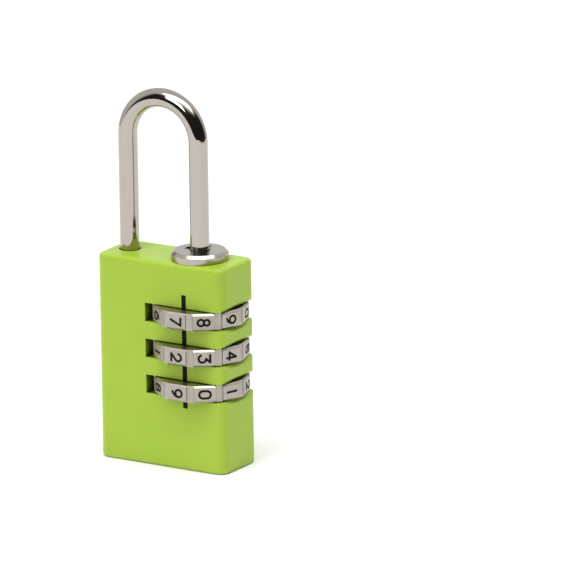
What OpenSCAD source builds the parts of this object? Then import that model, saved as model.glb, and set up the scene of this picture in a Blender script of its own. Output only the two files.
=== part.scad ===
// Three-dial combination padlock for luggage zips.
// Origin: centre of the flat underside. +Z is up, the numbered front faces -Y,
// and the heel of the shackle, which the dials turn about, is on the +X side.

/* [Body] */
// Width of the body, side to side
body_w = 20; // [20:0.5:24]
// Thickness of the body, front to back
body_d = 8.5; // [8:0.25:10]
// Height of the body
body_h = 28.5; // [28.5:0.5:32]
// Radius of the four upright corners
corner_r = 1.3; // [1.2:0.1:1.5]
// Rounding along the top and bottom edges
edge_r = 0.5; // [0.2:0.1:0.6]

/* [Shackle] */
// Diameter of the shackle wire
wire_d = 2.65; // [2.4:0.05:2.8]
// Distance between the centrelines of the two legs
leg_spacing = 11.2; // [11:0.1:11.6]
// Height of the bow above the top of the body
shackle_rise = 22.9; // [16:0.1:40]
// Depth of the toe in its hole when the lock is shut
toe_depth = 3; // [2:0.25:3.5]

/* [Dials] */
// Distance across opposite corners of a dial
dial_d = 13; // [12.9:0.05:13.2]
// Thickness of a dial
dial_t = 2.35; // [2.2:0.05:2.4]
// Height of the slot that a dial turns in
slot_h = 2.55; // [2.5:0.05:2.8]
// Distance from one dial to the next
dial_pitch = 5; // [4.9:0.05:5.1]
// Angle that a numbered facet takes up
facet_angle = 26; // [22:0.5:28]
// Depth of the grip grooves between the facets
groove_depth = 0.22; // [0.1:0.02:0.3]
// Height of a numeral
numeral_h = 1.85; // [1.5:0.05:2]

/* [Hidden] */
$fn = 64;
eps = 0.01;

// Shackle and bore centrelines
heel_x = 4;
toe_x = heel_x - leg_spacing;
bow_r = leg_spacing / 2;
wire_r = wire_d / 2;
bow_z = body_h + shackle_rise - wire_r - bow_r;
heel_end_z = 1.3;
toe_end_z = body_h - toe_depth;
wire_fn = 48;

// Dial stack, from the top down
middle_dial_z = 16.3;
dial_z = [middle_dial_z + dial_pitch, middle_dial_z, middle_dial_z - dial_pitch];
dial_r = dial_d / 2;
facets = 10;
facet_step = 360 / facets;
facet_apothem = dial_r * cos(facet_angle / 2);
dial_chamfer = 0.26;
groove_wall_angle = 1;
dial_bore_r = 2.66;
notch_r = 3.12;
notch_w = 0.85;
first_numerals = [7, 2, 9];

// Casing cavities
bore_r = 3.2;
slot_x = -2.2;
slot_round_r = dial_r + 0.2;
slot_edge_chamfer = 0.5;
toe_hole_r = wire_r + 0.15;
toe_hole_z = toe_end_z - 1;
plate_t = 1.2;
plate_margin = 0.7;
chamber_x = [-4.1, -2.6];
chamber_w = 3;
chamber_top_z = 24;

// Collar round the heel
collar_r = 3.9;
collar_h = 1.3;
collar_chamfer = 0.4;
collar_spigot = 2;
keyway_w = 1.2;
keyway_r = 2.2;

// Fins on the heel, and the key that fits the collar's keyways
fin_w = 1;
fin_r = 1.9;
fin_h = 1;
key_z = body_h - 1.7;
key_h = 1.5;

// Sleeves that join each dial to the heel
sleeve_r = 2.6;
sleeve_top_above_dial = 2.3;
sleeve_flange = 1;
sleeve_pocket_r = 2.05;
sleeve_hole_r = wire_r + 0.1;
tooth_r = 3.05;
tooth_w = 0.65;
tooth_h = 1.1;
stack_bottom_z = dial_z[2] + sleeve_top_above_dial - dial_pitch;

// Washer, spring and clip under the sleeves
washer_t = 0.6;
washer_r = 3;
spring_r = 2.62;
spring_wire_d = 0.4;
spring_turns = 5;
clip_z = 1.5;
clip_t = 0.4;
clip_r = 2.15;
clip_groove_r = 1.05;
clip_gap = 1.6;

// Leaf spring beside the dials
leaf_x = -4;
leaf_t = 0.25;
leaf_w = 2.6;
leaf_top_z = 23.6;
nose_reach_x = heel_x - dial_r - 0.06;
nose_h = 1.6;
nose_half_w = 0.8;

// Painted index line
index_w = 0.72;
index_depth = 0.15;
index_fill = 0.13;
index_top_z = 24.4;
index_bottom_z = 8.7;
index_ends = [
    [dial_z[0] + slot_h / 2, index_top_z],
    [dial_z[1] + slot_h / 2, dial_z[0] - slot_h / 2],
    [dial_z[2] + slot_h / 2, dial_z[1] - slot_h / 2],
    [index_bottom_z, dial_z[2] - slot_h / 2]
];

// Numerals: stroke thickness, bowl radius and half height
stroke_w = 0.3;
numeral_paint = 0.03;
bowl_r = 0.5;
half_h = (numeral_h - stroke_w) / 2;
numeral_fn = 24;

// ---------- outlines ----------

module rounded_rect(w, d, r) {
    square([w - 2 * r, d], center = true);
    square([w, d - 2 * r], center = true);
    for (sx = [-1, 1], sy = [-1, 1])
        translate([sx * (w / 2 - r), sy * (d / 2 - r)])
            circle(r = r, $fn = 32);
}

// Ten flat facets with a shallow flat groove after each
module dial_outline() {
    half = facet_angle / 2;
    groove_r = dial_r - groove_depth;
    corners = [
        [dial_r, -half],
        [dial_r, half],
        [groove_r, half + groove_wall_angle],
        [groove_r, facet_step - half - groove_wall_angle]
    ];
    polygon([
        for (i = [0 : facets - 1], c = corners)
            let (a = i * facet_step - 90 + c[1])
                [c[0] * cos(a), c[0] * sin(a)]
    ]);
}

// ---------- body ----------

// Rounded rectangle of the body seen along X (turn = 90) or along Y (turn = 0)
module side_profile(w, turn) {
    rotate([0, 0, turn])
        translate([0, body_w, body_h / 2])
            rotate([90, 0, 0])
                linear_extrude(2 * body_w)
                    rounded_rect(w, body_h, edge_r);
}

// What the edge rounding takes off the top of one upright corner
module corner_cut() {
    inner_r = corner_r - edge_r;
    translate([body_w / 2 - corner_r, body_d / 2 - corner_r, body_h / 2 - edge_r])
        rotate_extrude(angle = 90, $fn = 32)
            difference() {
                translate([inner_r, 0])
                    square(2 * edge_r);
                translate([inner_r, 0])
                    circle(r = edge_r, $fn = 32);
            }
}

module casing_block() {
    difference() {
        intersection() {
            linear_extrude(body_h)
                rounded_rect(body_w, body_d, corner_r);
            side_profile(body_w, 0);
            side_profile(body_d, 90);
        }
        for (flip_x = [0, 1], flip_y = [0, 1], flip_z = [0, 1])
            translate([0, 0, body_h / 2])
                mirror([flip_x, 0, 0])
                    mirror([0, flip_y, 0])
                        mirror([0, 0, flip_z])
                            corner_cut();
    }
}

module dial_slot(z) {
    translate([slot_x, -body_d, z - slot_h / 2])
        cube([body_w, 2 * body_d, slot_h]);
    translate([heel_x, 0, z - slot_h / 2])
        cylinder(r = slot_round_r, h = slot_h, $fn = 96);
    // Broken edges where the slot leaves the side of the body
    for (side = [-1, 1])
        translate([body_w / 2, 0, z + side * slot_h / 2])
            rotate([0, 45, 0])
                cube([slot_edge_chamfer * sqrt(2), 2 * body_d, slot_edge_chamfer * sqrt(2)], center = true);
}

module spring_chamber() {
    translate([chamber_x[0], -chamber_w / 2, plate_t - eps])
        cube([chamber_x[1] - chamber_x[0], chamber_w, chamber_top_z - plate_t]);
}

module plate_outline() {
    rounded_rect(body_w - 2 * plate_margin, body_d - 2 * plate_margin, 1);
}

module casing() {
    color("yellowgreen")
        difference() {
            casing_block();
            translate([heel_x, 0, plate_t - eps])
                cylinder(r = bore_r, h = body_h);
            translate([toe_x, 0, toe_hole_z])
                cylinder(r = toe_hole_r, h = body_h);
            for (z = dial_z) dial_slot(z);
            spring_chamber();
            translate([0, 0, -eps])
                linear_extrude(plate_t + eps)
                    plate_outline();
            translate([heel_x - index_w / 2, -body_d / 2 - eps, index_bottom_z])
                cube([index_w, index_depth + eps, index_top_z - index_bottom_z]);
        }
}

module base_plate() {
    color("yellowgreen")
        linear_extrude(plate_t)
            plate_outline();
}

module index_mark(n) {
    ends = index_ends[n - 1];
    color("black")
        translate([heel_x - index_w / 2, -body_d / 2 + index_depth - index_fill, ends[0]])
            cube([index_w, index_fill, ends[1] - ends[0]]);
}

module keyways(h) {
    for (turn = [90, 180])
        rotate([0, 0, turn])
            translate([0, -keyway_w / 2, 0])
                cube([keyway_r, keyway_w, h]);
}

module collar() {
    color("gainsboro")
        translate([heel_x, 0, body_h])
            difference() {
                union() {
                    translate([0, 0, -collar_spigot])
                        cylinder(r = bore_r, h = collar_spigot + eps);
                    cylinder(r = collar_r, h = collar_h - collar_chamfer);
                    translate([0, 0, collar_h - collar_chamfer])
                        cylinder(r1 = collar_r, r2 = collar_r - collar_chamfer, h = collar_chamfer);
                }
                translate([0, 0, -collar_spigot - eps]) {
                    cylinder(r = sleeve_hole_r, h = collar_spigot + collar_h + 2 * eps);
                    keyways(collar_spigot + collar_h + 2 * eps);
                }
            }
}

// One leaf for all three dials, with a rounded nose at each
module detent_spring() {
    nose_r = 0.3;
    color("silver") {
        translate([leaf_x, -leaf_w / 2, plate_t])
            cube([leaf_t, leaf_w, leaf_top_z - plate_t]);
        for (z = dial_z)
            translate([0, 0, z - nose_h / 2])
                linear_extrude(nose_h) {
                    polygon([
                        [leaf_x + leaf_t - eps, -nose_half_w],
                        [nose_reach_x - nose_r, -nose_r],
                        [nose_reach_x - nose_r, nose_r],
                        [leaf_x + leaf_t - eps, nose_half_w]
                    ]);
                    translate([nose_reach_x - nose_r, 0])
                        circle(r = nose_r, $fn = 32);
                }
    }
}

// ---------- shackle ----------

module heel_fin(z, h) {
    translate([heel_x - fin_r, -fin_w / 2, z])
        cube([fin_r, fin_w, h]);
}

module wire_end(x, z) {
    chamfer = 0.3;
    translate([x, 0, z])
        cylinder(r1 = wire_r - chamfer, r2 = wire_r, h = chamfer, $fn = wire_fn);
    translate([x, 0, z + chamfer])
        cylinder(r = wire_r, h = bow_z - z - chamfer, $fn = wire_fn);
}

module shackle() {
    color("lightgray")
        difference() {
            union() {
                wire_end(toe_x, toe_end_z);
                translate([heel_x, 0, heel_end_z])
                    cylinder(r = wire_r, h = bow_z - heel_end_z, $fn = wire_fn);
                translate([heel_x - bow_r, 0, bow_z])
                    rotate([90, 0, 0])
                        rotate_extrude(angle = 180, $fn = 96)
                            translate([bow_r, 0])
                                circle(r = wire_r, $fn = wire_fn);
                for (z = dial_z) heel_fin(z - fin_h / 2, fin_h);
                heel_fin(key_z, key_h);
            }
            translate([heel_x, 0, clip_z])
                difference() {
                    cylinder(r = wire_r + 1, h = clip_t);
                    cylinder(r = clip_groove_r, h = clip_t);
                }
        }
}

module retaining_clip() {
    color("silver")
        translate([heel_x, 0, clip_z])
            difference() {
                cylinder(r = clip_r, h = clip_t);
                translate([0, 0, -eps])
                    cylinder(r = clip_groove_r, h = clip_t + 2 * eps);
                translate([0, -clip_gap / 2, -eps])
                    cube([clip_r + 1, clip_gap, clip_t + 2 * eps]);
            }
}

// ---------- dials ----------

// Broken edge along the top or the bottom of one facet
module facet_chamfer(z) {
    side = dial_chamfer * sqrt(2);
    translate([0, -facet_apothem, z])
        rotate([45, 0, 0])
            cube([dial_r, side, side], center = true);
}

module dial(z) {
    color("silver")
        translate([heel_x, 0, z - dial_t / 2])
            difference() {
                linear_extrude(dial_t)
                    dial_outline();
                translate([0, 0, -eps])
                    cylinder(r = dial_bore_r, h = dial_t + 2 * eps);
                for (i = [0 : facets - 1])
                    rotate([0, 0, i * facet_step]) {
                        facet_chamfer(0);
                        facet_chamfer(dial_t);
                        translate([0, -notch_w / 2, -eps])
                            cube([notch_r, notch_w, dial_t + 2 * eps]);
                    }
            }
}

// A straight stroke with round ends
module stroke(p, q) {
    d = q - p;
    translate(p)
        rotate(atan2(d[1], d[0]))
            translate([0, -stroke_w / 2])
                square([norm(d), stroke_w]);
    for (end = [p, q])
        translate(end)
            circle(d = stroke_w, $fn = numeral_fn);
}

// A curved stroke of radius r round c, counter-clockwise from angle a to angle b
module bow_stroke(c, r, a, b) {
    reach = 2 * (r + stroke_w);
    step = (b - a) / 6;
    translate(c) {
        intersection() {
            difference() {
                circle(r = r + stroke_w / 2, $fn = numeral_fn);
                circle(r = r - stroke_w / 2, $fn = numeral_fn);
            }
            polygon(concat([[0, 0]], [for (i = [0 : 6]) reach * [cos(a + i * step), sin(a + i * step)]]));
        }
        for (t = [a, b])
            translate(r * [cos(t), sin(t)])
                circle(d = stroke_w, $fn = numeral_fn);
    }
}

module loop_stroke(c, r) {
    translate(c)
        difference() {
            circle(r = r + stroke_w / 2, $fn = numeral_fn);
            circle(r = r - stroke_w / 2, $fn = numeral_fn);
        }
}

// Numerals 0 to 9, upright and centred
module numeral(n) {
    top = half_h;
    low = -half_h;
    up_c = [0, top - bowl_r];
    low_c = [0, low + bowl_r];
    if (n == 0) {
        bow_stroke(up_c, bowl_r, 0, 180);
        bow_stroke(low_c, bowl_r, 180, 360);
        stroke([-bowl_r, low_c[1]], [-bowl_r, up_c[1]]);
        stroke([bowl_r, low_c[1]], [bowl_r, up_c[1]]);
    }
    if (n == 1)
        stroke([0, low], [0, top]);
    if (n == 2) {
        bow_stroke(up_c, bowl_r, -40, 170);
        stroke(up_c + bowl_r * [cos(-40), sin(-40)], [-bowl_r, low]);
        stroke([-bowl_r, low], [bowl_r, low]);
    }
    if (n == 3) {
        stroke([-bowl_r, top], [bowl_r, top]);
        stroke([bowl_r, top], [0, low_c[1] + bowl_r]);
        bow_stroke(low_c, bowl_r, -160, 90);
    }
    if (n == 4) {
        stroke([0.25, low], [0.25, top]);
        stroke([0.25, top], [-bowl_r, -0.35]);
        stroke([-bowl_r, -0.35], [bowl_r, -0.35]);
    }
    if (n == 5) {
        stroke([-bowl_r, top], [bowl_r, top]);
        stroke([-bowl_r, top], [-bowl_r, 0.1]);
        bow_stroke(low_c, bowl_r, -160, 130);
    }
    if (n == 6) {
        loop_stroke(low_c, bowl_r);
        bow_stroke([bowl_r, low_c[1]], 2 * bowl_r, 105, 180);
    }
    if (n == 7) {
        stroke([-bowl_r, top], [bowl_r, top]);
        stroke([bowl_r, top], [-0.2, low]);
    }
    if (n == 8) {
        loop_stroke([0, half_h - half_h / 2], half_h / 2);
        loop_stroke([0, half_h / 2 - half_h], half_h / 2 + 0.05);
    }
    if (n == 9)
        rotate(180)
            numeral(6);
}

// The ten numerals of a dial lie on their sides, tops toward +X at the front
module numerals(z, first) {
    color("black")
        translate([heel_x, 0, z])
            for (i = [0 : facets - 1])
                rotate([0, 0, i * facet_step])
                    translate([0, -facet_apothem, 0])
                        rotate([90, 0, 0])
                            linear_extrude(numeral_paint)
                                rotate(-90)
                                    numeral((first + i) % facets);
}

// ---------- sleeves ----------

module sleeve(z) {
    bottom = z + sleeve_top_above_dial - dial_pitch;
    color("goldenrod")
        difference() {
            translate([heel_x, 0, bottom]) {
                cylinder(r = sleeve_r, h = dial_pitch);
                for (turn = [0, 180])
                    rotate([0, 0, turn])
                        translate([0, -tooth_w / 2, z - dial_t / 2 - bottom])
                            cube([tooth_r, tooth_w, tooth_h]);
            }
            translate([heel_x, 0, bottom - eps]) {
                cylinder(r = sleeve_pocket_r, h = dial_pitch - sleeve_flange + eps);
                cylinder(r = sleeve_hole_r, h = dial_pitch + 2 * eps);
                translate([-sleeve_pocket_r, -keyway_w / 2, 0])
                    cube([sleeve_pocket_r, keyway_w, dial_pitch + 2 * eps]);
            }
        }
}

module thrust_washer() {
    color("silver")
        translate([heel_x, 0, stack_bottom_z - washer_t])
            difference() {
                cylinder(r = washer_r, h = washer_t);
                translate([0, 0, -eps])
                    cylinder(r = sleeve_hole_r, h = washer_t + 2 * eps);
            }
}

// Compression spring: a round wire swept along a helix
module sleeve_spring() {
    sides = 8;
    steps = 20 * spring_turns;
    wire = spring_wire_d / 2;
    low = plate_t + wire + 0.02;
    rise = stack_bottom_z - washer_t - wire - 0.02 - low;
    function ring_point(i, j) =
        let (
            a = 360 * spring_turns * i / steps,
            b = 360 * j / sides,
            r = spring_r + wire * cos(b)
        )
        [r * cos(a), r * sin(a), low + rise * i / steps + wire * sin(b)];
    points = [for (i = [0 : steps], j = [0 : sides - 1]) ring_point(i, j)];
    skin = [
        for (i = [0 : steps - 1], j = [0 : sides - 1])
            let (k = (j + 1) % sides)
                [i * sides + j, (i + 1) * sides + j, (i + 1) * sides + k, i * sides + k]
    ];
    first_cap = [for (j = [0 : sides - 1]) j];
    last_cap = [for (j = [sides - 1 : -1 : 0]) steps * sides + j];
    color("silver")
        translate([heel_x, 0, 0])
            polyhedron(points, concat(skin, [first_cap, last_cap]));
}

casing();
base_plate();
collar();
detent_spring();
index_mark(1);  // index_mark_1
index_mark(2);  // index_mark_2
index_mark(3);  // index_mark_3
index_mark(4);  // index_mark_4
shackle();
retaining_clip();
thrust_washer();
sleeve_spring();
dial(dial_z[0]);  // dial_top
dial(dial_z[1]);  // dial_middle
dial(dial_z[2]);  // dial_bottom
numerals(dial_z[0], first_numerals[0]);  // numerals_top
numerals(dial_z[1], first_numerals[1]);  // numerals_middle
numerals(dial_z[2], first_numerals[2]);  // numerals_bottom
sleeve(dial_z[0]);  // sleeve_top
sleeve(dial_z[1]);  // sleeve_middle
sleeve(dial_z[2]);  // sleeve_bottom
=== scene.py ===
"""Looks of the three-dial luggage padlock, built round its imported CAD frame. Metres, +Z up."""
import math

import bpy
from mathutils import Matrix, Vector


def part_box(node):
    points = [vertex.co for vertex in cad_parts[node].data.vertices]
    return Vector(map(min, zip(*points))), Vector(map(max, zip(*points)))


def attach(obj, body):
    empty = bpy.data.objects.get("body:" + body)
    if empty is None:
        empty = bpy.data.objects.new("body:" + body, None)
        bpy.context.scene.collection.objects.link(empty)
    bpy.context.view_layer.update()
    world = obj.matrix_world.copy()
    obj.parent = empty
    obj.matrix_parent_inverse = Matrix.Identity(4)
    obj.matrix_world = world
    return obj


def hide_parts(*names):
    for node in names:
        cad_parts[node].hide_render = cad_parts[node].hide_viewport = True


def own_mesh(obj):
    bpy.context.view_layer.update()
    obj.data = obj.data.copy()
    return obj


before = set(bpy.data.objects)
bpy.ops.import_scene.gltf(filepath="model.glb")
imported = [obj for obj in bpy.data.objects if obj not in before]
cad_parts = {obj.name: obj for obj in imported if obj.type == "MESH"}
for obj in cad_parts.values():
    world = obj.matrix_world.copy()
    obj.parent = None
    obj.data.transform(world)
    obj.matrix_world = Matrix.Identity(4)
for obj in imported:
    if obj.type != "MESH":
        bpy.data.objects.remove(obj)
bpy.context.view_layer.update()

MM = 0.001
ROWS = ("top", "middle", "bottom")
INDEX_MARKS = (1, 2, 3, 4)

# Camera: a long lens, looking down on the numbered front from its right
CAMERA_YAW = 32.24
CAMERA_PITCH = 15.22
CAMERA_ROLL = -0.83
CAMERA_DISTANCE = 1.2
CAMERA_LENS = 559.4
CAMERA_AIM_HEIGHT = 0.014
CAMERA_SIDE_STEP = -0.01478
CAMERA_RISE = -0.00975
SENSOR = 36

# Paint and metal colours, as linear values
PAINT = (0.360, 0.520, 0.046)
PAINT_DEEP = (0.344, 0.500, 0.040)
# PAINT_SHADE is painted shade: the lacquer's colour deep in the slots and hollows, where shade falls
PAINT_SHADE = (0.010, 0.014, 0.002)
METAL = (0.41, 0.375, 0.330)
METAL_DULL = (0.34, 0.31, 0.275)
# METAL_SHADE is painted shade: the metal's colour in narrow gaps, where shade falls
METAL_SHADE = (0.02, 0.018, 0.016)
BRASS = (0.62, 0.43, 0.16)
BRASS_DULL = (0.42, 0.28, 0.10)
STEEL = (0.42, 0.42, 0.43)
STEEL_DULL = (0.28, 0.28, 0.29)
BLACK = (0.003, 0.003, 0.003)
BLACK_WORN = (0.009, 0.008, 0.008)
RUBBED_GAIN = 1.25

# Depths and reaches of the surface detail, and the reach of the painted shade in the slots
PEEL_DEPTH = 0.04 * MM
SCRATCH_DEPTH = 0.03 * MM
GRAIN_DEPTH = 0.03 * MM
RUBBED_WIDTH = 0.1 * MM
PAINT_EDGE = 0.12 * MM
SLOT_SHADE_REACH = 5 * MM


# ---------- materials ----------

class Nodes:
    """A material's node tree, with short ways to add and join nodes."""

    def __init__(self, name):
        self.material = bpy.data.materials.new(name)
        self.material.use_nodes = True
        self.tree = self.material.node_tree
        self.shader = self.tree.nodes["Principled BSDF"]
        self.coords = self.tree.nodes.new("ShaderNodeTexCoord").outputs["Object"]

    def add(self, kind, **settings):
        made = self.tree.nodes.new(kind)
        for key, value in settings.items():
            setattr(made, key, value)
        return made

    def link(self, output, target):
        self.tree.links.new(output, target)

    def noise(self, scale, detail=3.0, stretch=None):
        made = self.add("ShaderNodeTexNoise")
        made.inputs["Scale"].default_value = scale
        made.inputs["Detail"].default_value = detail
        source = self.coords
        if stretch:
            mapping = self.add("ShaderNodeMapping")
            mapping.inputs["Scale"].default_value = stretch
            self.link(source, mapping.inputs["Vector"])
            source = mapping.outputs["Vector"]
        self.link(source, made.inputs["Vector"])
        return made.outputs["Fac"]

    def ramp(self, fac, low, high, start=0.35, end=0.65):
        """Colour or grey from low to high as fac goes from start to end."""
        made = self.add("ShaderNodeValToRGB")
        first, last = made.color_ramp.elements
        first.position, last.position = start, end
        first.color = (*as_colour(low), 1)
        last.color = (*as_colour(high), 1)
        self.link(fac, made.inputs["Fac"])
        return made.outputs["Color"]

    def mix(self, fac, a, b):
        made = self.add("ShaderNodeMix", data_type="RGBA")
        self.link(fac, made.inputs["Factor"])
        for socket, value in ((made.inputs["A"], a), (made.inputs["B"], b)):
            if isinstance(value, tuple):
                socket.default_value = (*value, 1)
            else:
                self.link(value, socket)
        return made.outputs["Result"]

    def edges(self, size):
        """1 near the piece's sharp edges, 0 on its flat faces."""
        bevel = self.add("ShaderNodeBevel", samples=6)
        bevel.inputs["Radius"].default_value = size
        plain = self.add("ShaderNodeNewGeometry")
        dot = self.add("ShaderNodeVectorMath", operation="DOT_PRODUCT")
        self.link(bevel.outputs["Normal"], dot.inputs[0])
        self.link(plain.outputs["Normal"], dot.inputs[1])
        ranged = self.add("ShaderNodeMapRange")
        ranged.inputs["From Min"].default_value = 1.0
        ranged.inputs["From Max"].default_value = 0.9
        self.link(dot.outputs["Value"], ranged.inputs["Value"])
        return ranged.outputs["Result"]

    def gap_shade_mask(self, reach, own=True):
        """Mask for painted shade: 0 deep in gaps narrower than reach and 1 in the open, by the piece's own
        faces or by all faces.
        """
        shade = self.add("ShaderNodeAmbientOcclusion", samples=8, only_local=own)
        shade.inputs["Distance"].default_value = reach
        return self.ramp(shade.outputs["AO"], 0.0, 1.0, 0.30, 0.80)

    def bump(self, height, strength, distance, rounding=0.0):
        """Bump from a height, over rounded edges where rounding is more than nothing."""
        made = self.add("ShaderNodeBump")
        made.inputs["Strength"].default_value = strength
        made.inputs["Distance"].default_value = distance
        self.link(height, made.inputs["Height"])
        if rounding:
            bevel = self.add("ShaderNodeBevel", samples=8)
            bevel.inputs["Radius"].default_value = rounding
            self.link(bevel.outputs["Normal"], made.inputs["Normal"])
        self.link(made.outputs["Normal"], self.shader.inputs["Normal"])

    def set(self, **values):
        for key, value in values.items():
            socket = self.shader.inputs[key.replace("_", " ")]
            if isinstance(value, bpy.types.NodeSocket):
                self.link(value, socket)
            elif isinstance(value, tuple):
                socket.default_value = (*value, 1)
            else:
                socket.default_value = value


def as_colour(value):
    return value if isinstance(value, tuple) else (value, value, value)


def paint_material():
    """Thick glossy lacquer with a faint orange-peel, a little deeper in places, and painted shade deep in
    the slots.
    """
    made = Nodes("lime_lacquer")
    cloud = made.noise(160, 4)
    peel = made.noise(2600, 2)
    flecks = made.noise(9000, 2)
    body = made.ramp(cloud, PAINT_DEEP, PAINT, 0.3, 0.55)
    # Painted shade: the lacquer goes near black deep in the slots and hollows, where shade falls
    shaded = made.mix(made.gap_shade_mask(SLOT_SHADE_REACH), PAINT_SHADE, body)
    made.set(Base_Color=shaded, Roughness=made.ramp(flecks, 0.30, 0.40))
    made.set(Coat_Weight=0.10, Coat_Roughness=0.15, Specular_IOR_Level=0.2)
    made.bump(peel, 0.10, PEEL_DEPTH, PAINT_EDGE)
    return made.material


def metal_material(name, scratch, roughness, rounding, tones=(METAL, METAL_DULL), gap=0.8 * MM):
    """Plated or bare metal: scratches along scratch, dulled patches, worn edges and painted shade in gaps.
    """
    bright, dull = tones
    rubbed = tuple(min(1.0, RUBBED_GAIN * c) for c in bright)
    made = Nodes(name)
    patches = made.noise(220, 4)
    lines = made.noise(1400, 3, scratch)
    tone = made.mix(made.ramp(patches, 0.0, 0.35, 0.45, 0.75), bright, dull)
    worn = made.mix(made.edges(RUBBED_WIDTH), tone, rubbed)
    # Painted shade: near black in gaps narrower than gap, also where other parts come close, where shade
    # falls
    shaded = made.mix(made.gap_shade_mask(gap, own=False), METAL_SHADE, worn)
    made.set(Base_Color=shaded, Metallic=1.0, Roughness=made.ramp(lines, *roughness))
    made.bump(lines, 0.06, SCRATCH_DEPTH, rounding)
    return made.material


def black_paint_material():
    """Black paint lying in a groove, slightly uneven."""
    made = Nodes("black_fill")
    grain = made.noise(4200, 3)
    made.set(Base_Color=made.ramp(grain, BLACK, BLACK_WORN), Roughness=made.ramp(grain, 0.55, 0.75))
    made.set(Specular_IOR_Level=0.15)
    made.bump(grain, 0.25, GRAIN_DEPTH)
    return made.material


CHROME = metal_material("shackle_chrome", (1, 1, 0.08), (0.05, 0.10), 0.06 * MM, gap=0.2 * MM)
COLLAR = metal_material("collar_chrome", (1, 1, 1), (0.18, 0.28), 0.08 * MM, gap=0.3 * MM)
DIAL = metal_material("dial_nickel", (1, 1, 0.12), (0.28, 0.42), 0.07 * MM)
SLEEVE = metal_material("sleeve_brass", (1, 1, 0.2), (0.25, 0.4), 0.05 * MM, (BRASS, BRASS_DULL))
SPRING = metal_material("spring_steel", (1, 1, 0.2), (0.25, 0.4), 0.03 * MM, (STEEL, STEEL_DULL))
LACQUER = paint_material()
BLACK_FILL = black_paint_material()

NODE_MATERIALS = {
    "casing": LACQUER, "base_plate": LACQUER, "collar": COLLAR, "shackle": CHROME,
    "detent_spring": SPRING, "retaining_clip": SPRING, "thrust_washer": SPRING, "sleeve_spring": SPRING,
    **{f"index_mark_{n}": BLACK_FILL for n in INDEX_MARKS},
    **{f"dial_{row}": DIAL for row in ROWS},
    **{f"numerals_{row}": BLACK_FILL for row in ROWS},
    **{f"sleeve_{row}": SLEEVE for row in ROWS},
}

for name, material in NODE_MATERIALS.items():
    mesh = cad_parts[name].data
    mesh.materials.clear()
    mesh.materials.append(material)


# ---------- spring ----------

SPRING_TURNS = 6
SPRING_WIRE = 0.4 * MM
END_TURNS = 0.75
END_RISE = 0.04
POINTS_PER_TURN = 32


def spring_height(turn):
    """How far up the spring the wire is after so many turns, from 0 to 1: both ends lie nearly flat."""
    open_turns = SPRING_TURNS - 2 * END_TURNS
    if turn < END_TURNS:
        return END_RISE * turn / END_TURNS
    if turn > SPRING_TURNS - END_TURNS:
        return 1 - END_RISE * (SPRING_TURNS - turn) / END_TURNS
    return END_RISE + (1 - 2 * END_RISE) * (turn - END_TURNS) / open_turns


def spring_line(low, high):
    """The wire's centreline with its thickness, filling the box from low to high."""
    middle = (low + high) / 2
    radius = (high.x - low.x - SPRING_WIRE) / 2
    length = high.z - low.z - SPRING_WIRE
    line = bpy.data.curves.new("spring_line", "CURVE")
    line.dimensions = "3D"
    line.bevel_depth = SPRING_WIRE / 2
    line.bevel_resolution = 3
    line.use_fill_caps = True
    spline = line.splines.new("POLY")
    spline.points.add(SPRING_TURNS * POINTS_PER_TURN)
    for i, point in enumerate(spline.points):
        turn = i / POINTS_PER_TURN
        angle = 2 * math.pi * turn
        x = middle.x + radius * math.cos(angle)
        y = middle.y + radius * math.sin(angle)
        point.co = (x, y, low.z + SPRING_WIRE / 2 + length * spring_height(turn), 1)
    return line


def make_spring():
    """The spring under the washer, as a round wire in place of the spring part."""
    low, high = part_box("sleeve_spring")
    swept = bpy.data.objects.new("spring_line", spring_line(low, high))
    mesh = bpy.data.meshes.new_from_object(swept)
    bpy.data.objects.remove(swept)
    mesh.shade_smooth()
    mesh.materials.clear()
    mesh.materials.append(SPRING)
    obj = bpy.data.objects.new("spring_coil", mesh)
    bpy.context.scene.collection.objects.link(obj)
    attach(obj, "casing")
    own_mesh(obj)
    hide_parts("sleeve_spring")


make_spring()


# ---------- stage ----------

FLOOR_HALF = 0.3
FLOOR_TONES = (0.90, 0.94)

# The studio is white, and dark on the side that the numbered front faces. Heights and the side's edge are
# parts of a unit direction, and the dark fades in or out over each pair.
ROOM_STRENGTH = 0.88
ROOM_WHITE = (1, 1, 1)
ROOM_DARK = (0.03, 0.028, 0.028)
DARK_FROM = (-0.2, -0.13)
DARK_TO = (0.80, 0.62)
DARK_EDGE = (-0.2, 0.1)
DARK_SIDE = 8
LIGHTS_AIM = Vector((0, 0, 25 * MM))


def back_direction(pitch=CAMERA_PITCH, side=0):
    """Unit vector from the lock towards the camera, at this pitch and side degrees to its right."""
    yaw, pitch = math.radians(CAMERA_YAW + side), math.radians(pitch)
    return Vector((math.sin(yaw) * math.cos(pitch), -math.cos(yaw) * math.cos(pitch), math.sin(pitch)))


def make_floor():
    corners = [(x, y, 0) for x, y in ((-1, -1), (1, -1), (1, 1), (-1, 1))]
    mesh = bpy.data.meshes.new("floor")
    mesh.from_pydata([tuple(FLOOR_HALF * v for v in corner) for corner in corners], [], [(0, 1, 2, 3)])
    made = Nodes("pale_floor")
    made.set(Base_Color=made.ramp(made.noise(30, 2), *FLOOR_TONES), Roughness=0.8)
    mesh.materials.append(made.material)
    obj = bpy.data.objects.new("floor", mesh)
    bpy.context.scene.collection.objects.link(obj)


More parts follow.
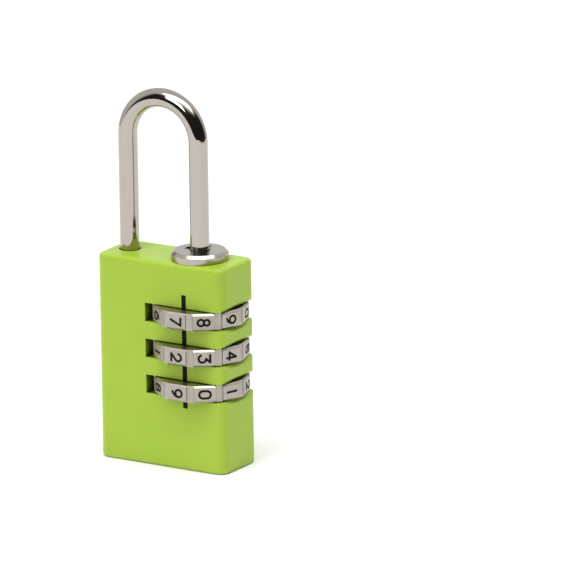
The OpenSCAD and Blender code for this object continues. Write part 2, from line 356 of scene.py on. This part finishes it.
def make_world():
    """A white studio with a dark room low down on the side that the numbered front faces."""
    world = bpy.data.worlds.new("studio")
    world.use_nodes = True
    bpy.context.scene.world = world
    tree = world.node_tree
    background = tree.nodes["Background"]
    direction = tree.nodes.new("ShaderNodeTexCoord").outputs["Generated"]
    split = tree.nodes.new("ShaderNodeSeparateXYZ")
    tree.links.new(direction, split.inputs["Vector"])
    facing = tree.nodes.new("ShaderNodeVectorMath")
    facing.operation = "DOT_PRODUCT"
    facing.inputs[1].default_value = back_direction(0, DARK_SIDE)
    tree.links.new(direction, facing.inputs[0])

    def step(source, start, end):
        made = tree.nodes.new("ShaderNodeMapRange")
        made.interpolation_type = "SMOOTHSTEP"
        made.inputs["From Min"].default_value = start
        made.inputs["From Max"].default_value = end
        tree.links.new(source, made.inputs["Value"])
        return made.outputs["Result"]

    def times(a, b):
        made = tree.nodes.new("ShaderNodeMath")
        made.operation = "MULTIPLY"
        tree.links.new(a, made.inputs[0])
        tree.links.new(b, made.inputs[1])
        return made.outputs["Value"]

    height = split.outputs["Z"]
    band = times(step(height, *DARK_FROM), step(height, *DARK_TO))
    dark = times(band, step(facing.outputs["Value"], *DARK_EDGE))
    seen = tree.nodes.new("ShaderNodeLightPath").outputs["Is Camera Ray"]
    unseen = tree.nodes.new("ShaderNodeMath")
    unseen.operation = "SUBTRACT"
    unseen.inputs[0].default_value = 1.0
    tree.links.new(seen, unseen.inputs[1])
    dark = times(dark, unseen.outputs["Value"])
    mix = tree.nodes.new("ShaderNodeMix")
    mix.data_type = "RGBA"
    mix.inputs["A"].default_value = (*ROOM_WHITE, 1)
    mix.inputs["B"].default_value = (*ROOM_DARK, 1)
    tree.links.new(dark, mix.inputs["Factor"])
    tree.links.new(mix.outputs["Result"], background.inputs["Color"])
    background.inputs["Strength"].default_value = ROOM_STRENGTH


def area_light(name, side, height, distance, size, power):
    """A softbox at side degrees to the right of the camera and height degrees up."""
    data = bpy.data.lights.new(name, "AREA")
    data.shape = "RECTANGLE"
    data.size, data.size_y = size
    data.energy = power
    obj = bpy.data.objects.new(name, data)
    bpy.context.scene.collection.objects.link(obj)
    turn, rise = math.radians(CAMERA_YAW + side), math.radians(height)
    outward = Vector((math.sin(turn) * math.cos(rise), -math.cos(turn) * math.cos(rise), math.sin(rise)))
    obj.location = LIGHTS_AIM + distance * outward
    obj.rotation_euler = outward.to_track_quat("Z", "Y").to_euler()


def make_camera():
    back = back_direction()
    yaw, roll = math.radians(CAMERA_YAW), math.radians(CAMERA_ROLL)
    level = Vector((math.cos(yaw), math.sin(yaw), 0))
    upright = back.cross(level)
    right = level * math.cos(roll) + upright * math.sin(roll)
    up = upright * math.cos(roll) - level * math.sin(roll)
    data = bpy.data.cameras.new("camera")
    data.lens = CAMERA_LENS
    data.sensor_width = SENSOR
    data.clip_end = 10
    obj = bpy.data.objects.new("camera", data)
    bpy.context.scene.collection.objects.link(obj)
    aim = Vector((0, 0, CAMERA_AIM_HEIGHT))
    obj.location = aim - CAMERA_SIDE_STEP * right - CAMERA_RISE * up + CAMERA_DISTANCE * back
    obj.rotation_euler = Matrix((right, up, back)).transposed().to_euler()
    bpy.context.scene.camera = obj


make_camera()
make_floor()
make_world()
area_light("overhead", side=5, height=76, distance=1.5, size=(2.0, 0.8), power=20)
area_light("front_left", side=-40, height=35, distance=1.6, size=(0.8, 0.6), power=8)
bpy.context.scene.view_settings.view_transform = "Standard"
